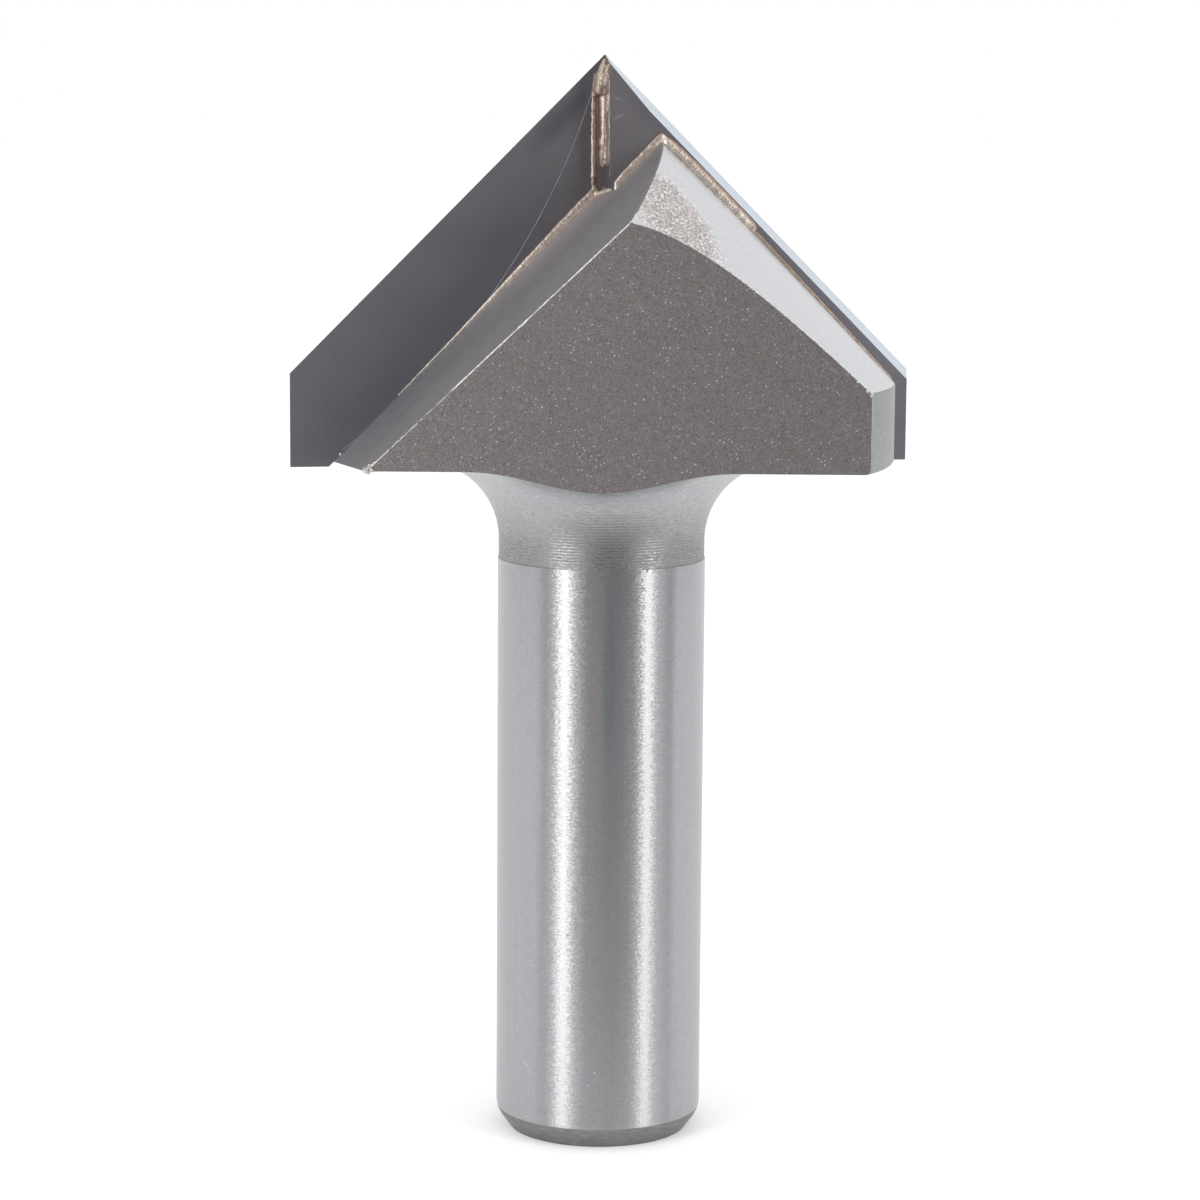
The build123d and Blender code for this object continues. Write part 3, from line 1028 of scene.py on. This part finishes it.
class ROUTERBIT_OT_studio(bpy.types.Operator):
    """Sets up the pale floor, the soft studio light and the camera"""

    bl_idname = "routerbit.studio"
    bl_label = "Studio"
    # Heights of the lights and cards, in metres: from the floor to their middles, and in all.
    middle_height = 0.13
    full_height = 0.26
    lamp_distance = 0.26

    def execute(self, context):
        self.floor()
        self.light_up(context.scene)
        self.lamp("left_softbox", -51, 0.065, 0.26)
        self.lamp("right_softbox", 43, 0.065, 0.21)
        for name, azimuth, distance, width, shade in (
            ("front_card", 3, 0.14, 0.19, "868686"),
            ("lens_card", 5, 0.13, 0.05, "5A5A5A"),
            ("left_flag", -74, 0.2, 0.034, "585858"),
            ("right_flag", 72, 0.2, 0.034, "505050"),
        ):
            self.card(name, self.facing(azimuth, distance), (width, self.full_height, 1), shade)
        flat = {"location": (0.01, -0.0875, 0.0002), "rotation": (0, 0, 0)}
        self.card("floor_card", flat, (0.26, 0.105, 1), "B6B6B6")
        self.aim_camera(context.scene)
        context.scene.view_settings.view_transform = "Standard"
        return {"FINISHED"}

    def floor(self):
        """Matt white paper that shows as pure white, apart from the bit's own soft shadow."""
        deselect()
        bpy.ops.mesh.primitive_plane_add(size=6, location=(0, 0, 0))
        floor = added("studio_floor")
        material, tree, place = new_material("Paper, matt white")
        ray = add_node(tree, "ShaderNodeLightPath").outputs
        seen = worked_out(tree, "MAXIMUM", ray["Is Camera Ray"], ray["Is Glossy Ray"])
        seen = worked_out(tree, "MAXIMUM", seen, ray["Is Transmission Ray"])
        surface(
            tree,
            {
                "Base Color": tinted(tree, from_hex("F4F4F4"), (grain(tree, place, (3,) * 3), 0.995, 1.0)),
                "Roughness": 0.9,
                "Specular IOR Level": 0.0,
                "Emission Color": (1, 1, 1, 1),
                "Emission Strength": worked_out(tree, "MULTIPLY", seen, 0.16),
            },
        )
        floor.data.materials.append(material)

    def light_up(self, scene):
        """Even white light from all round."""
        world = bpy.data.worlds.new("Studio")
        world.use_nodes = True
        world.node_tree.nodes.clear()
        sky = add_node(world.node_tree, "ShaderNodeBackground", {"Color": (1, 1, 1, 1), "Strength": 1.0})
        add_node(world.node_tree, "ShaderNodeOutputWorld", {"Surface": sky.outputs["Background"]})
        scene.world = world

    def facing(self, azimuth, distance):
        """Place and turn of an upright light or card, its azimuth in degrees from -Y towards +X."""
        turn = math.radians(azimuth)
        away = Vector((math.sin(turn), -math.cos(turn), 0))
        location = away * distance + Vector((0, 0, self.middle_height))
        return {"location": location, "rotation": away.to_track_quat("Z", "Y").to_euler()}

    def lamp(self, name, azimuth, width, watts):
        """Tall softbox that faces the bit."""
        deselect()
        bpy.ops.object.light_add(type="AREA", **self.facing(azimuth, self.lamp_distance))
        lamp = bpy.context.object
        lamp.name = name
        lamp.data.shape = "RECTANGLE"
        lamp.data.size = width
        lamp.data.size_y = self.full_height
        lamp.data.energy = watts
        lamp.data.color = (1.0, 0.97, 0.93)
        lamp.visible_camera = False

    def card(self, name, stand, spans, shade):
        """Grey card that only the steel's reflections see."""
        deselect()
        bpy.ops.mesh.primitive_plane_add(size=1, **stand)
        bpy.context.object.scale = spans
        card = added(name)
        material, tree, place = new_material("Card, matt grey " + name)
        tone = tinted(tree, from_hex(shade), (grain(tree, place, (5,) * 3), 0.99, 1.0))
        surface(tree, {"Base Color": tone, "Roughness": 0.9, "Specular IOR Level": 0.0})
        card.data.materials.append(material)
        card.visible_camera = False
        card.visible_diffuse = False
        card.visible_shadow = False

    def aim_camera(self, scene):
        """Camera whose place, turn and lens were fitted to the photograph's edges."""
        azimuth, pitch, roll = (math.radians(d) for d in (10.083, 8.461, 0.413))
        turn = (
            Matrix.Rotation(-azimuth, 3, "Z")
            @ Matrix.Rotation(math.pi / 2 - pitch, 3, "X")
            @ Matrix.Rotation(roll, 3, "Z")
        )
        deselect()
        bpy.ops.object.camera_add(location=(-0.03746, -0.21026, 0.06483), rotation=turn.to_euler())
        camera = bpy.context.object
        camera.name = "photo_camera"
        camera.data.sensor_width = 36
        camera.data.lens = 105.434
        camera.data.clip_start = 0.01
        scene.camera = camera


class ROUTERBIT_PT_panel(bpy.types.Panel):
    """Lists the steps that build the bit"""

    bl_label = "Router Bit"
    bl_idname = "ROUTERBIT_PT_panel"
    bl_space_type = "VIEW_3D"
    bl_region_type = "UI"
    bl_category = "Router Bit"

    def draw(self, context):
        for step in STEPS:
            self.layout.operator(step.bl_idname)
        for group in (context.scene.bit_sizes, context.scene.bit_colours):
            for name in group.__annotations__:
                self.layout.prop(group, name)


STEPS = (ROUTERBIT_OT_body, ROUTERBIT_OT_cutters, ROUTERBIT_OT_braze, ROUTERBIT_OT_studio)
CLASSES = (BitSizes, BitColours, *STEPS, ROUTERBIT_PT_panel)


def register():
    for item in CLASSES:
        bpy.utils.register_class(item)
    bpy.types.Scene.bit_sizes = PointerProperty(type=BitSizes)
    bpy.types.Scene.bit_colours = PointerProperty(type=BitColours)


def unregister():
    del bpy.types.Scene.bit_sizes
    del bpy.types.Scene.bit_colours
    for item in reversed(CLASSES):
        bpy.utils.unregister_class(item)


def main():
    register()
    bpy.ops.routerbit.body()
    bpy.ops.routerbit.cutters()
    bpy.ops.routerbit.braze()
    bpy.ops.routerbit.studio()


if __name__ == "__main__":
    main()
